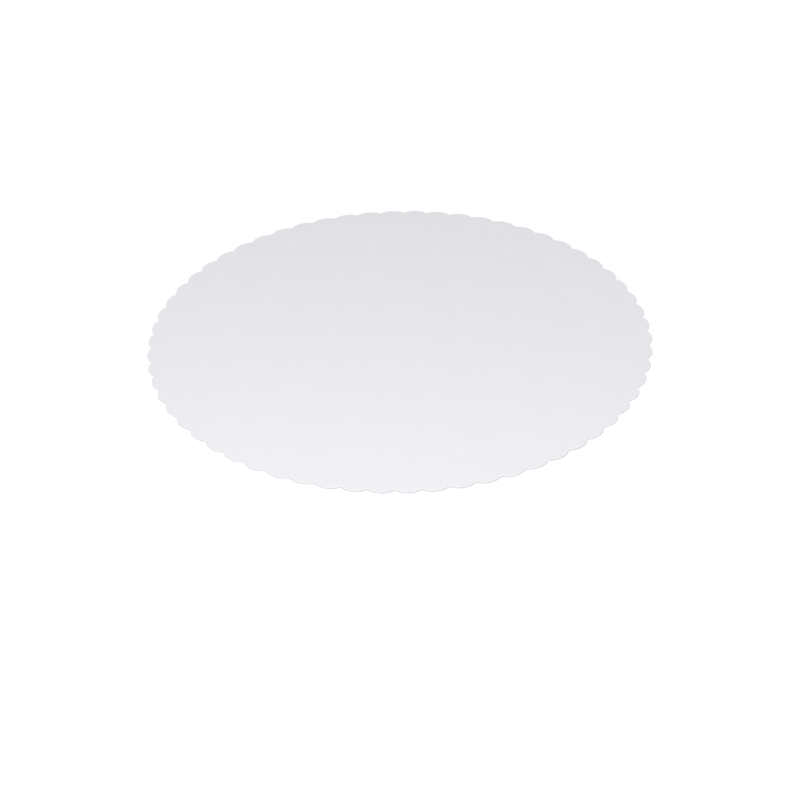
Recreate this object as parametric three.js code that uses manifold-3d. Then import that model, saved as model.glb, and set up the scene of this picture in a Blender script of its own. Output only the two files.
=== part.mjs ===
// A round cake board: one sheet of white card, die-cut with a scalloped edge, lying flat.
// Millimetres, +Z up. The origin is the middle of the underside.
import * as THREE from 'three';
import { mergeVertices } from 'three/addons/utils/BufferGeometryUtils.js';
import Module from 'manifold-3d';

// Driving sizes
const boardDiameter = 220; // across the tips of two opposite scallops
const cardThickness = 0.47; // the single sheet
const scallopPitch = 11.15; // from cusp to cusp, measured along the rim
const scallopDepth = 1.9; // from a scallop's tip in to the cusp beside it
const rollWidth = 0.4; // strip along the cut that the die presses down
const rollDepth = 0.12; // how far the strip is pressed down at the cut

// How finely curves are stepped
const stepsPerScallop = 8;
const stepsInRoll = 2;

// Worked out from the driving sizes
const tipRadius = boardDiameter / 2;
const scallopPairs = Math.round((Math.PI * boardDiameter) / scallopPitch / 2);
const scallopCount = 2 * scallopPairs; // even, so that every tip has a tip opposite
const halfPitchAngle = Math.PI / scallopCount;

// Each scallop is a circular arc from cusp to cusp that touches the tip circle.
function scallopArc() {
  const cuspRadius = tipRadius - scallopDepth;
  const halfChord = cuspRadius * Math.sin(halfPitchAngle);
  const chordDistance = cuspRadius * Math.cos(halfPitchAngle);
  const rise = tipRadius - chordDistance;
  const radius = (halfChord ** 2 + rise ** 2) / (2 * rise);
  const centreDistance = tipRadius - radius;
  const halfSweep = Math.atan2(halfChord, chordDistance - centreDistance);
  return { radius, centreDistance, halfSweep };
}

// The outline that the die cuts: the arcs one after another, the first facing +X.
function scallopedOutline() {
  const { radius, centreDistance, halfSweep } = scallopArc();
  const points = [];
  for (let scallop = 0; scallop < scallopCount; scallop++) {
    const facing = 2 * halfPitchAngle * scallop;
    const arc = new THREE.ArcCurve(
      centreDistance * Math.cos(facing),
      centreDistance * Math.sin(facing),
      radius,
      facing - halfSweep,
      facing + halfSweep,
      false,
    );
    // the last point of an arc is the first of the next one
    points.push(...arc.getPoints(stepsPerScallop).slice(0, -1));
  }
  return new THREE.Shape(points);
}

const wasm = await Module();
wasm.setup();

// A closed geometry as a solid for joining and cutting, with its shared corners merged.
function toSolid(geometry) {
  const bare = geometry.clone();
  bare.deleteAttribute('normal');
  bare.deleteAttribute('uv');
  const merged = mergeVertices(bare);
  return new wasm.Manifold(
    new wasm.Mesh({
      numProp: 3,
      vertProperties: new Float32Array(merged.attributes.position.array),
      triVerts: new Uint32Array(merged.index.array),
    }),
  );
}

// A solid as a geometry with flat-shaded faces.
function toGeometry(solid) {
  const mesh = solid.getMesh();
  const geometry = new THREE.BufferGeometry();
  geometry.setAttribute('position', new THREE.BufferAttribute(mesh.vertProperties, 3));
  geometry.setIndex(new THREE.BufferAttribute(mesh.triVerts, 1));
  const flat = geometry.toNonIndexed();
  flat.computeVertexNormals();
  return flat;
}

// The sheet as it leaves the die: its top edge is rolled over where the knife went in, and its
// underside stays square. It is extruded with a roll on both faces, and the lower one is cut off.
function cardSheet() {
  const roll = Math.min(rollDepth, cardThickness / 2);
  const rolledBothSides = new THREE.ExtrudeGeometry(scallopedOutline(), {
    depth: cardThickness,
    bevelEnabled: true,
    bevelThickness: roll,
    bevelSize: rollWidth,
    bevelOffset: -rollWidth,
    bevelSegments: stepsInRoll,
  }).translate(0, 0, -roll);

  const keptHeight = 2 * cardThickness;
  const aboveUnderside = new THREE.BoxGeometry(2 * boardDiameter, 2 * boardDiameter, keptHeight)
    .translate(0, 0, keptHeight / 2);

  return toGeometry(toSolid(rolledBothSides).intersect(toSolid(aboveUnderside)));
}

const whiteCard = new THREE.MeshStandardMaterial({ color: 0xefeef3, roughness: 0.6, metalness: 0 });

const cakeBoard = new THREE.Mesh(cardSheet(), whiteCard);
cakeBoard.name = 'cake_board';

const part = new THREE.Group();
part.add(cakeBoard);

export default part;
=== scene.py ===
from math import cos, pi, radians, sin

import bpy
from mathutils import Matrix, Vector


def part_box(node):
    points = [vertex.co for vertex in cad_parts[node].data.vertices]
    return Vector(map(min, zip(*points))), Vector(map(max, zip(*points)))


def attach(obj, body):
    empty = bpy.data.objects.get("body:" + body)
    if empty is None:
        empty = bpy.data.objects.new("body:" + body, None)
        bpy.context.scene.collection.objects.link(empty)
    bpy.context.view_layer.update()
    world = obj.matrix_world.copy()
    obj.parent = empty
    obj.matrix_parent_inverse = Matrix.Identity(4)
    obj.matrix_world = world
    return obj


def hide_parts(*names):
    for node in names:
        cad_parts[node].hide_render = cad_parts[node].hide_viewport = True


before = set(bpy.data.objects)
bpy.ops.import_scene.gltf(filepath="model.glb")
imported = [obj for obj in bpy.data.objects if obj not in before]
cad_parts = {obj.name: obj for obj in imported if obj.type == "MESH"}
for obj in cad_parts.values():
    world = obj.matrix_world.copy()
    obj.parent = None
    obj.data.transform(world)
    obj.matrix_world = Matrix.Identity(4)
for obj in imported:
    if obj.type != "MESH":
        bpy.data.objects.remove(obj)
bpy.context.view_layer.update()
boardLow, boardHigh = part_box("cake_board")
scene = bpy.context.scene
mm = 0.001
print("frame: %d node, %.0f mm across" % (len(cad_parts), (boardHigh.x - boardLow.x) / mm))


def hexToLinear(code):
    channels = [int(code[i:i + 2], 16) / 255 for i in (1, 3, 5)]
    linear = [c / 12.92 if c <= 0.04045 else ((c + 0.055) / 1.055) ** 2.4 for c in channels]
    return (*linear, 1)


nodeSpacing = (190, 260)  # in the node editor
nodesPerRow = 12


# Adds a node. Settings are the node's own, and inputs are keyed by a socket's name or number,
# each with a value or with the node or socket that feeds it. Numbers serve where names repeat:
# a Mix node's factor is at 0, or at 1 for a vector of factors, and its two ends are at 2 and 3
# as numbers, 4 and 5 as vectors, 6 and 7 as colours. A Compare node's whole numbers are at 2 and 3.
def addNode(tree, kind, inputs=None, **settings):
    node = tree.nodes.new(kind)
    row, column = divmod(len(tree.nodes), nodesPerRow)
    node.location = (column * nodeSpacing[0], -row * nodeSpacing[1])
    for name, value in settings.items():
        setattr(node, name, value)
    for socket, value in (inputs or {}).items():
        if isinstance(value, bpy.types.Node):
            value = value.outputs[0]
        if isinstance(value, bpy.types.NodeSocket):
            tree.links.new(value, node.inputs[socket])
        else:
            node.inputs[socket].default_value = value
    return node


# A new material, its tree and its shader, all still at their defaults
def newFinish(name):
    material = bpy.data.materials.new(name)
    material.use_nodes = True
    tree = material.node_tree
    return material, tree, tree.nodes["Principled BSDF"]


# Way the fibres lie in the card, turned from +X. The card curls round it.
grainTurn = radians(18)

coatedLook = {
    "white": "#EFEFF3",
    "cloud": "#EDEDF2",  # where the fibre under the coating lies thicker
    "cloudLength": 11 * mm,
    "cloudRange": (0.3, 0.7),  # of the noise, from clear to cloud
    "roughness": (0.50, 0.60),  # clear, and in a cloud
    "pitLength": 0.9 * mm,  # real pits are about 0.1 mm, drawn this coarse so that they show
    "pitHeight": 0.0012 * mm,
    "ior": 1.5,
}


# Clay-coated white board, calendered: an even, cool white with a soft sheen, faintly cloudy.
def coatedFace():
    look = coatedLook
    material, tree, card = newFinish("coatedFace")
    place = addNode(tree, "ShaderNodeTexCoord").outputs["Object"]
    clouds = addNode(tree, "ShaderNodeTexNoise", {
        "Vector": place,
        "Scale": 1 / look["cloudLength"],
        "Detail": 3,
        "Roughness": 0.55,
    })
    pits = addNode(tree, "ShaderNodeTexNoise", {
        "Vector": place,
        "Scale": 1 / look["pitLength"],
        "Detail": 2,
        "Roughness": 0.5,
    })
    density = addNode(tree, "ShaderNodeMapRange", {
        "Value": clouds,
        "From Min": look["cloudRange"][0],
        "From Max": look["cloudRange"][1],
    })
    shade = addNode(tree, "ShaderNodeMix", {
        0: density,
        6: hexToLinear(look["white"]),
        7: hexToLinear(look["cloud"]),
    }, data_type="RGBA")
    gloss = addNode(tree, "ShaderNodeMapRange", {
        "Value": density,
        "To Min": look["roughness"][0],
        "To Max": look["roughness"][1],
    })
    relief = addNode(tree, "ShaderNodeBump", {"Height": pits, "Distance": look["pitHeight"]})
    tree.links.new(shade.outputs[2], card.inputs["Base Color"])
    tree.links.new(gloss.outputs[0], card.inputs["Roughness"])
    tree.links.new(relief.outputs[0], card.inputs["Normal"])
    card.inputs["IOR"].default_value = look["ior"]
    return material


cutLook = {
    "ply": "#E6E3E4",
    "seam": "#CECACC",  # between two plies
    "plyThickness": 0.12 * mm,
    "streakLength": 0.35 * mm,  # along the rim, from fibre end to fibre end
    "streakShape": (1, 1, 0.15),  # drawn out upright, the way the knife went
    "streakHeight": 0.012 * mm,
    "roughness": 0.85,
    "ior": 1.5,
}


# Raw fibre where the knife went through: matt and a little greyer, with the plies as fine lines.
def cutEdge():
    look = cutLook
    material, tree, card = newFinish("cutEdge")
    place = addNode(tree, "ShaderNodeTexCoord").outputs["Object"]
    plies = addNode(tree, "ShaderNodeTexWave", {
        "Vector": place,
        "Scale": pi / 10 / look["plyThickness"],  # a wave's own length is pi / 10 at scale 1
        "Distortion": 1.5,
        "Detail": 2,
        "Detail Scale": 2,
    }, bands_direction="Z")
    upright = addNode(tree, "ShaderNodeMapping", {"Vector": place, "Scale": look["streakShape"]})
    streaks = addNode(tree, "ShaderNodeTexNoise", {
        "Vector": upright,
        "Scale": 1 / look["streakLength"],
        "Detail": 3,
        "Roughness": 0.6,
    })
    shade = addNode(tree, "ShaderNodeMix", {
        0: plies,
        6: hexToLinear(look["seam"]),
        7: hexToLinear(look["ply"]),
    }, data_type="RGBA")
    relief = addNode(tree, "ShaderNodeBump", {"Height": streaks, "Distance": look["streakHeight"]})
    tree.links.new(shade.outputs[2], card.inputs["Base Color"])
    tree.links.new(relief.outputs[0], card.inputs["Normal"])
    card.inputs["Roughness"].default_value = look["roughness"]
    card.inputs["IOR"].default_value = look["ior"]
    return material


backLook = {
    "fibre": "#F0EEEA",
    "hollow": "#D8D4CD",  # between fibres
    "fibreRange": (0.35, 0.65),  # of the noise, from hollow to fibre
    "fibreLength": 3 * mm,
    "fibreWidth": 0.5 * mm,  # a real fibre is 0.03 mm wide, drawn this coarse so that it shows
    "fibreHeight": 0.004 * mm,
    "roughness": 0.8,
    "ior": 1.5,
}


# Uncoated back of the board: greyer and quite matt, with short fibres along the grain.
def boardBack():
    look = backLook
    material, tree, card = newFinish("boardBack")
    place = addNode(tree, "ShaderNodeTexCoord").outputs["Object"]
    alongGrain = addNode(tree, "ShaderNodeMapping", {
        "Vector": place,
        "Rotation": (0, 0, -grainTurn),
        "Scale": (1 / look["fibreLength"], 1 / look["fibreWidth"], 1 / look["fibreWidth"]),
    })
    fibres = addNode(tree, "ShaderNodeTexNoise", {
        "Vector": alongGrain,
        "Scale": 1,
        "Detail": 4,
        "Roughness": 0.6,
        "Distortion": 0.4,
    })
    build = addNode(tree, "ShaderNodeMapRange", {
        "Value": fibres,
        "From Min": look["fibreRange"][0],
        "From Max": look["fibreRange"][1],
    })
    shade = addNode(tree, "ShaderNodeMix", {
        0: build,
        6: hexToLinear(look["hollow"]),
        7: hexToLinear(look["fibre"]),
    }, data_type="RGBA")
    relief = addNode(tree, "ShaderNodeBump", {"Height": fibres, "Distance": look["fibreHeight"]})
    tree.links.new(shade.outputs[2], card.inputs["Base Color"])
    tree.links.new(relief.outputs[0], card.inputs["Normal"])
    card.inputs["Roughness"].default_value = look["roughness"]
    card.inputs["IOR"].default_value = look["ior"]
    return material


boardSizes = {
    "scallopPitch": 11.15 * mm,  # from cusp to cusp, along the rim
    "scallopDepth": 1.9 * mm,
    "rollWidth": 0.4 * mm,  # strip along the cut that the die presses down
    "rollDepth": 0.12 * mm,
    "footBreak": 0.05 * mm,  # fibres that tear away as the knife comes through
    "curl": 0.12 * mm,  # how far the two sides across the grain lift off the table
    "cockle": 0.04 * mm,  # height of the card's slight waves
    "cockleLength": 35 * mm,
    "seed": 4,  # another number gives other waves
    "stepsPerScallop": 12,
    "faceRings": 38,  # from the middle to the roll
    "edgeRings": 6,  # over the roll, and down the cut
    "sharpAngle": radians(32),  # an edge that turns by more stays crisp
    "mergeDistance": 0.002 * mm,
}


def addSockets(tree, side, sockets):
    for name, kind in sockets:
        tree.interface.new_socket(name, in_out=side, socket_type="NodeSocket" + kind)


# One strip of the card's section, over one scallop, from its point Start to its point End.
# A point of the section holds its share of the way out to the rim, its inset from the cut and
# its height. The scallop is an arc from cusp to cusp that touches the circle of the tips.
# Sums are listed as a name, an operation and its terms, which are numbers or names known by then.
def sectionStripTree():
    tree = bpy.data.node_groups.new("Section strip", "GeometryNodeTree")
    addSockets(tree, "INPUT", (
        ("Start", "Vector"),
        ("End", "Vector"),
        ("Rounded", "Float"),
        ("Rings", "Int"),
        ("Zone", "Int"),
        ("Steps", "Int"),
        ("Scallops", "Float"),
        ("Tip Radius", "Float"),
        ("Scallop Depth", "Float"),
    ))
    addSockets(tree, "OUTPUT", [("Strip", "Geometry")])
    given = addNode(tree, "NodeGroupInput").outputs
    onePast = addNode(tree, "ShaderNodeMath", {0: given["Steps"], 1: 1}, operation="ADD")
    grid = addNode(tree, "GeometryNodeMeshGrid", {
        "Size X": 1,
        "Size Y": 1,
        "Vertices X": onePast,
        "Vertices Y": given["Rings"],
    })
    spot = addNode(tree, "ShaderNodeSeparateXYZ", {0: addNode(tree, "GeometryNodeInputPosition")})
    known = {socket.name: socket for socket in given}
    known.update(aside=spot.outputs["X"], ahead=spot.outputs["Y"])

    # how far along the strip, straight or on a quarter of an ellipse
    for name, operation, *terms in (
        ("way", "ADD", "ahead", 0.5),
        ("quarter", "MULTIPLY", "way", pi / 2),
        ("quarterSine", "SINE", "quarter"),
        ("quarterCosine", "COSINE", "quarter"),
        ("bulge", "SUBTRACT", "quarterSine", "way"),
        ("sag", "SUBTRACT", 1, "quarterCosine"),
        ("dip", "SUBTRACT", "sag", "way"),
        ("insetWay", "MULTIPLY_ADD", "Rounded", "bulge", "way"),
        ("heightWay", "MULTIPLY_ADD", "Rounded", "dip", "way"),
    ):
        terms = {number: known.get(term, term) for number, term in enumerate(terms)}
        known[name] = addNode(tree, "ShaderNodeMath", terms, operation=operation)
    ways = addNode(tree, "ShaderNodeCombineXYZ", {
        "X": known["way"],
        "Y": known["insetWay"],
        "Z": known["heightWay"],
    })
    point = addNode(tree, "ShaderNodeMix", {
        1: ways,
        4: given["Start"],
        5: given["End"],
    }, data_type="VECTOR", factor_mode="NON_UNIFORM")
    section = addNode(tree, "ShaderNodeSeparateXYZ", {0: point.outputs[1]}).outputs
    known.update(share=section["X"], inset=section["Y"], height=section["Z"])

    for name, operation, *terms in (
        # the scallop's arc
        ("halfPitch", "DIVIDE", pi, "Scallops"),
        ("halfSine", "SINE", "halfPitch"),
        ("halfCosine", "COSINE", "halfPitch"),
        ("cuspRadius", "SUBTRACT", "Tip Radius", "Scallop Depth"),
        ("halfChord", "MULTIPLY", "cuspRadius", "halfSine"),
        ("chordDistance", "MULTIPLY", "cuspRadius", "halfCosine"),
        ("rise", "SUBTRACT", "Tip Radius", "chordDistance"),
        ("halfChordSquared", "POWER", "halfChord", 2),
        ("bothSquares", "MULTIPLY_ADD", "rise", "rise", "halfChordSquared"),
        ("twoRises", "MULTIPLY", "rise", 2),
        ("arcRadius", "DIVIDE", "bothSquares", "twoRises"),
        ("arcCentre", "SUBTRACT", "Tip Radius", "arcRadius"),
        # this point's angle, taken clockwise so that the faces point outwards
        ("sweep", "MULTIPLY", "halfPitch", -2),
        ("angle", "MULTIPLY", "aside", "sweep"),
        ("angleSine", "SINE", "angle"),
        ("angleCosine", "COSINE", "angle"),
        # where the arc, set in by the inset, lies at that angle
        ("across", "MULTIPLY", "arcCentre", "angleSine"),
        ("along", "MULTIPLY", "arcCentre", "angleCosine"),
        ("innerArc", "SUBTRACT", "arcRadius", "inset"),
        ("acrossSquared", "POWER", "across", 2),
        ("innerSquared", "POWER", "innerArc", 2),
        ("reachSquared", "SUBTRACT", "innerSquared", "acrossSquared"),
        ("reach", "SQRT", "reachSquared"),
        ("outline", "ADD", "along", "reach"),
        ("radius", "MULTIPLY", "share", "outline"),
        ("x", "MULTIPLY", "radius", "angleCosine"),
        ("y", "MULTIPLY", "radius", "angleSine"),
    ):
        terms = {number: known.get(term, term) for number, term in enumerate(terms)}
        known[name] = addNode(tree, "ShaderNodeMath", terms, operation=operation)
    place = addNode(tree, "ShaderNodeCombineXYZ", {
        "X": known["x"],
        "Y": known["y"],
        "Z": known["height"],
    })
    bent = addNode(tree, "GeometryNodeSetPosition", {"Geometry": grid, "Position": place})
    marked = addNode(tree, "GeometryNodeStoreNamedAttribute", {
        "Geometry": bent,
        "Name": "zone",
        "Value": given["Zone"],
    }, data_type="INT", domain="FACE")
    addNode(tree, "NodeGroupOutput", {"Strip": marked})
    return tree


# The whole card: the strips over one scallop, set round the rim once for each scallop, then
# curled round the grain and cockled a little.
def scallopedCardTree():
    tree = bpy.data.node_groups.new("Scalloped card", "GeometryNodeTree")
    addSockets(tree, "INPUT", (
        ("Tip Radius", "Float"),
        ("Thickness", "Float"),
        ("Scallops", "Int"),
        ("Scallop Depth", "Float"),
        ("Roll Width", "Float"),
        ("Roll Depth", "Float"),
        ("Foot Break", "Float"),
        ("Curl", "Float"),
        ("Grain Turn", "Float"),
        ("Cockle", "Float"),
        ("Cockle Length", "Float"),
        ("Seed", "Int"),
        ("Steps per Scallop", "Int"),
        ("Face Rings", "Int"),
        ("Edge Rings", "Int"),
        ("Sharp Angle", "Float"),
        ("Merge Distance", "Float"),
        ("Coated Face", "Material"),
        ("Cut Edge", "Material"),
        ("Board Back", "Material"),
    ))
    addSockets(tree, "OUTPUT", [("Card", "Geometry")])
    given = addNode(tree, "NodeGroupInput").outputs
    known = {socket.name: socket for socket in given}

    rollFoot = addNode(tree, "ShaderNodeMath", {
        0: given["Thickness"],
        1: given["Roll Depth"],
    }, operation="SUBTRACT")
    points = [
        addNode(tree, "ShaderNodeCombineXYZ", {"X": share, "Y": inset, "Z": height})
        for share, inset, height in (
            (0, given["Roll Width"], given["Thickness"]),
            (1, given["Roll Width"], given["Thickness"]),
            (1, 0, rollFoot),
            (1, 0, given["Foot Break"]),
            (1, given["Foot Break"], 0),
            (0, given["Foot Break"], 0),
        )
    ]
    faceZone, cutZone, backZone = 0, 1, 2
    # from point to point: how rounded the strip is, its rings and its zone
    strips = (
        (0, "Face Rings", faceZone),
        (1, "Edge Rings", faceZone),
        (0, "Edge Rings", cutZone),
        (0, "Edge Rings", cutZone),
        (0, "Face Rings", backZone),
    )
    stripTree = sectionStripTree()
    oneScallop = addNode(tree, "GeometryNodeJoinGeometry")
    for start, end, (rounded, rings, zone) in zip(points, points[1:], strips):
        strip = addNode(tree, "GeometryNodeGroup", node_tree=stripTree)
        for name, value in (
            ("Start", start.outputs[0]),
            ("End", end.outputs[0]),
            ("Rings", given[rings]),
            ("Steps", given["Steps per Scallop"]),
            ("Scallops", given["Scallops"]),
            ("Tip Radius", given["Tip Radius"]),
            ("Scallop Depth", given["Scallop Depth"]),
        ):
            tree.links.new(value, strip.inputs[name])
        strip.inputs["Rounded"].default_value = rounded
        strip.inputs["Zone"].default_value = zone
        tree.links.new(strip.outputs[0], oneScallop.inputs[0])

    pitch = addNode(tree, "ShaderNodeMath", {0: 2 * pi, 1: given["Scallops"]}, operation="DIVIDE")
    facing = addNode(tree, "ShaderNodeMath", {
        0: addNode(tree, "GeometryNodeInputIndex"),
        1: pitch,
    }, operation="MULTIPLY")
    allRound = addNode(tree, "GeometryNodeInstanceOnPoints", {
        "Points": addNode(tree, "GeometryNodePoints", {"Count": given["Scallops"]}),
        "Instance": oneScallop,
        "Rotation": addNode(tree, "ShaderNodeCombineXYZ", {"Z": facing}),
    })
    realized = addNode(tree, "GeometryNodeRealizeInstances", {"Geometry": allRound})
    closed = addNode(tree, "GeometryNodeMergeByDistance", {
        "Geometry": realized,
        "Distance": given["Merge Distance"],
    })

    # the card's lift off the table: a curl round the grain, and the cockle
    spot = addNode(tree, "ShaderNodeSeparateXYZ", {0: addNode(tree, "GeometryNodeInputPosition")})
    known.update(xHere=spot.outputs["X"], yHere=spot.outputs["Y"])
    for name, operation, *terms in (
        ("grainSine", "SINE", "Grain Turn"),
        ("grainCosine", "COSINE", "Grain Turn"),
        ("minusX", "MULTIPLY", "xHere", -1),
        ("turnedX", "MULTIPLY", "minusX", "grainSine"),
        ("acrossGrain", "MULTIPLY_ADD", "yHere", "grainCosine", "turnedX"),
        ("shareAcross", "DIVIDE", "acrossGrain", "Tip Radius"),
        ("bow", "POWER", "shareAcross", 2),
        ("xWave", "DIVIDE", "xHere", "Cockle Length"),
        ("yWave", "DIVIDE", "yHere", "Cockle Length"),
    ):
        terms = {number: known.get(term, term) for number, term in enumerate(terms)}
        known[name] = addNode(tree, "ShaderNodeMath", terms, operation=operation)
    waves = addNode(tree, "ShaderNodeTexNoise", {
        "Vector": addNode(tree, "ShaderNodeCombineXYZ", {
            "X": known["xWave"],
            "Y": known["yWave"],
            "Z": given["Seed"],
        }),
        "Scale": 1,
        "Detail": 1,
    })
    lowWave, highWave = 0.3, 0.7  # the noise mostly keeps between these
    cockle = addNode(tree, "ShaderNodeMapRange", {
        "Value": waves,
        "From Min": lowWave,
        "From Max": highWave,
        "To Max": given["Cockle"],
    })
    lift = addNode(tree, "ShaderNodeMath", {
        0: known["bow"],
        1: given["Curl"],
        2: cockle,
    }, operation="MULTIPLY_ADD")
    lifted = addNode(tree, "GeometryNodeSetPosition", {
        "Geometry": closed,
        "Offset": addNode(tree, "ShaderNodeCombineXYZ", {"Z": lift}),
    })

    smooth = addNode(tree, "GeometryNodeSetShadeSmooth", {"Geometry": lifted})
    creased = addNode(tree, "GeometryNodeSetShadeSmooth", {
        "Geometry": smooth,
        "Selection": addNode(tree, "FunctionNodeCompare", {
            0: addNode(tree, "GeometryNodeInputMeshEdgeAngle"),
            1: given["Sharp Angle"],
        }, operation="GREATER_THAN"),
        "Shade Smooth": False,
    }, domain="EDGE")
    finished = addNode(tree, "GeometryNodeSetMaterial", {
        "Geometry": creased,
        "Material": given["Coated Face"],
    })
    zoneHere = addNode(tree, "GeometryNodeInputNamedAttribute", {"Name": "zone"}, data_type="INT")
    for zone, finish in ((cutZone, "Cut Edge"), (backZone, "Board Back")):
        inZone = addNode(tree, "FunctionNodeCompare", {
            2: zoneHere,
            3: zone,
        }, data_type="INT", operation="EQUAL")
        finished = addNode(tree, "GeometryNodeSetMaterial", {
            "Geometry": finished,
            "Selection": inZone,
            "Material": given[finish],
        })
    addNode(tree, "NodeGroupOutput", {"Card": finished})
    return tree


def makeBoard():
    sizes = boardSizes
    tipRadius = (boardHigh.x - boardLow.x) / 2
    scallopsInHalf = round(pi * tipRadius / sizes["scallopPitch"])
    settings = {
        "Tip Radius": tipRadius,
        "Thickness": boardHigh.z - boardLow.z,
        "Scallops": 2 * scallopsInHalf,  # even, so that each tip has one opposite
        "Scallop Depth": sizes["scallopDepth"],
        "Roll Width": sizes["rollWidth"],
        "Roll Depth": sizes["rollDepth"],
        "Foot Break": sizes["footBreak"],
        "Curl": sizes["curl"],
        "Grain Turn": grainTurn,
        "Cockle": sizes["cockle"],
        "Cockle Length": sizes["cockleLength"],
        "Seed": sizes["seed"],
        "Steps per Scallop": sizes["stepsPerScallop"],
        "Face Rings": sizes["faceRings"],
        "Edge Rings": sizes["edgeRings"],
        "Sharp Angle": sizes["sharpAngle"],
        "Merge Distance": sizes["mergeDistance"],
        "Coated Face": coatedFace(),
        "Cut Edge": cutEdge(),
        "Board Back": boardBack(),
    }
    board = bpy.data.objects.new("scalloped_card", bpy.data.meshes.new("scalloped_card"))
    scene.collection.objects.link(board)
    recipe = board.modifiers.new("Scalloped card", "NODES")
    recipe.node_group = scallopedCardTree()
    for socket in recipe.node_group.interface.items_tree:
        if socket.in_out == "INPUT":
            recipe[socket.identifier] = settings[socket.name]
    finished = board.evaluated_get(bpy.context.evaluated_depsgraph_get())
    board.data = bpy.data.meshes.new_from_object(finished)
    board.modifiers.remove(recipe)
    board.data.materials.pop(index=0)  # the empty slot that Set Material starts from
    board.data.attributes.remove(board.data.attributes["zone"])
    return board


board = makeBoard()
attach(board, "root")
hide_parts("cake_board")
print("board: %d faces" % len(board.data.polygons))


lightLook = {
    "roomLevel": 0.463,  # even light from all round
    "keyPower": 5.45,  # watts
    "keySize": 0.5,
    "keyPlace": (-0.058, -0.55, 0.75),  # it faces the middle of the board
}


# 1 where this is seen, straight or in a gloss or glass, and 0 where it only gives light
def whereSeen(tree):
    rays = addNode(tree, "ShaderNodeLightPath").outputs
    mirrored = addNode(tree, "ShaderNodeMath", {
        0: rays["Is Glossy Ray"],
        1: rays["Is Transmission Ray"],
    }, operation="MAXIMUM")
    return addNode(tree, "ShaderNodeMath", {0: rays["Is Camera Ray"], 1: mirrored}, operation="MAXIMUM")


def makeLights():
    look = lightLook
    lamp = bpy.data.lights.new("softbox", "AREA")
    lamp.shape = "SQUARE"
    lamp.size = look["keySize"]
    lamp.energy = look["keyPower"]
    softbox = bpy.data.objects.new("softbox", lamp)
    scene.collection.objects.link(softbox)
    softbox.location = look["keyPlace"]
    softbox.rotation_euler = (-softbox.location).to_track_quat("-Z", "Y").to_euler()

    room = bpy.data.worlds.new("room")
    room.use_nodes = True
    tree = room.node_tree
    white = 1  # as a strength
    level = addNode(tree, "ShaderNodeMix", {0: whereSeen(tree), 2: look["roomLevel"], 3: white})
    background = tree.nodes["Background"]
    background.inputs["Color"].default_value = (1, 1, 1, 1)
    tree.links.new(level.outputs[0], background.inputs["Strength"])
    scene.world = room


makeLights()
print("lights: in place")


tableLook = {
    "white": "#F4F4F5",
    "roughness": 0.9,
    "width": 8,
    "glow": (0.035, 0.341),  # at the two ends of its reach, more where the lamp's light thins out
    "glowReach": (0.37, 0.80),  # over the table, from under the lamp
    "farGlow": 0.85,
    "farReach": (0.13, 0.5),  # from the middle
}


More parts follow.
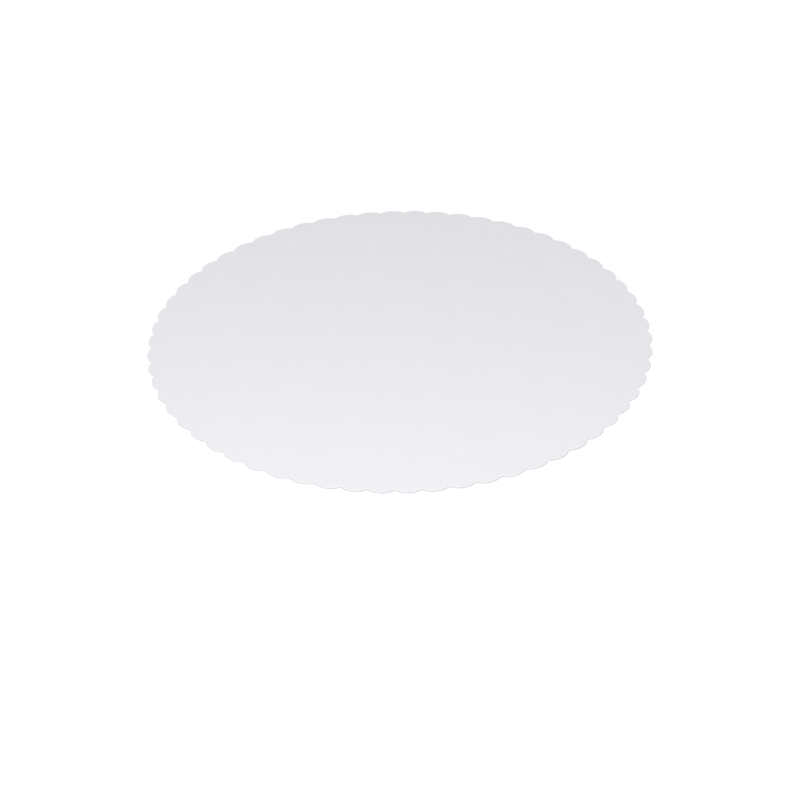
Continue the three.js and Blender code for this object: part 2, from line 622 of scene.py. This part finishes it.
# A table in matt white paint: pale, with no gloss. Its glow lights nothing. It lifts the lit
# paint to a full white where it is seen, and leaves the board's shadow.
def makeTable():
    look = tableLook
    half = look["width"] / 2
    corners = [(-half, -half, 0), (half, -half, 0), (half, half, 0), (-half, half, 0)]
    mesh = bpy.data.meshes.new("table")
    mesh.from_pydata(corners, [], [(0, 1, 2, 3)])
    table = bpy.data.objects.new("table", mesh)
    scene.collection.objects.link(table)

    material, tree, paint = newFinish("tableWhite")
    paint.inputs["Base Color"].default_value = hexToLinear(look["white"])
    paint.inputs["Roughness"].default_value = look["roughness"]
    paint.inputs["Specular IOR Level"].default_value = 0
    place = addNode(tree, "ShaderNodeTexCoord").outputs["Object"]
    underLamp = (lightLook["keyPlace"][0], lightLook["keyPlace"][1], 0)
    fromLamp = addNode(tree, "ShaderNodeVectorMath", {0: place, 1: underLamp}, operation="DISTANCE")
    fromMiddle = addNode(tree, "ShaderNodeVectorMath", {0: place}, operation="LENGTH")
    nearGlow = addNode(tree, "ShaderNodeMapRange", {
        "Value": fromLamp.outputs["Value"],
        "From Min": look["glowReach"][0],
        "From Max": look["glowReach"][1],
        "To Min": look["glow"][0],
        "To Max": look["glow"][1],
    }, clamp=False)
    farGlow = addNode(tree, "ShaderNodeMapRange", {
        "Value": fromMiddle.outputs["Value"],
        "From Min": look["farReach"][0],
        "From Max": look["farReach"][1],
        "To Max": look["farGlow"],
    }, interpolation_type="SMOOTHSTEP")
    glow = addNode(tree, "ShaderNodeMath", {0: nearGlow, 1: farGlow}, operation="MAXIMUM")
    glowSeen = addNode(tree, "ShaderNodeMath", {0: whereSeen(tree), 1: glow}, operation="MULTIPLY")
    light = addNode(tree, "ShaderNodeEmission", {"Strength": glowSeen})
    both = addNode(tree, "ShaderNodeAddShader", {0: paint, 1: light})
    tree.links.new(both.outputs[0], tree.nodes["Material Output"].inputs["Surface"])
    mesh.materials.append(material)
    return table


makeTable()
print("table: in place")


cameraView = {
    "focalLength": 2274,  # in pixels of the square picture
    "pictureWidth": 800,
    "boardMiddle": (399.6, 339.1),  # the pixel at which the board's middle shows
    "distance": 0.994,  # from the lens to the board's middle
    "lookDown": radians(35.23),
    "lean": radians(1.43),
    "walkRound": radians(1.85),  # sets the scallops where the picture has them
}


def makeCamera():
    view = cameraView
    forward = Vector((0, cos(view["lookDown"]), -sin(view["lookDown"])))
    level = Vector((1, 0, 0))
    plumb = forward.cross(level)
    right = cos(view["lean"]) * level + sin(view["lean"]) * plumb
    down = cos(view["lean"]) * plumb - sin(view["lean"]) * level
    across, below = (pixel - view["pictureWidth"] / 2 for pixel in view["boardMiddle"])
    toMiddle = forward + (across * right + below * down) / view["focalLength"]
    lens = Vector((0, 0, boardHigh.z)) - view["distance"] * toMiddle.normalized()

    camera = bpy.data.cameras.new("camera")
    camera.lens = view["focalLength"] / view["pictureWidth"] * camera.sensor_width
    held = bpy.data.objects.new("camera", camera)
    scene.collection.objects.link(held)
    stance = Matrix((right, -down, -forward)).transposed().to_4x4()
    held.matrix_world = Matrix.Rotation(view["walkRound"], 4, "Z") @ Matrix.Translation(lens) @ stance
    scene.camera = held


makeCamera()
scene.view_settings.view_transform = "Standard"
print("camera: in place")
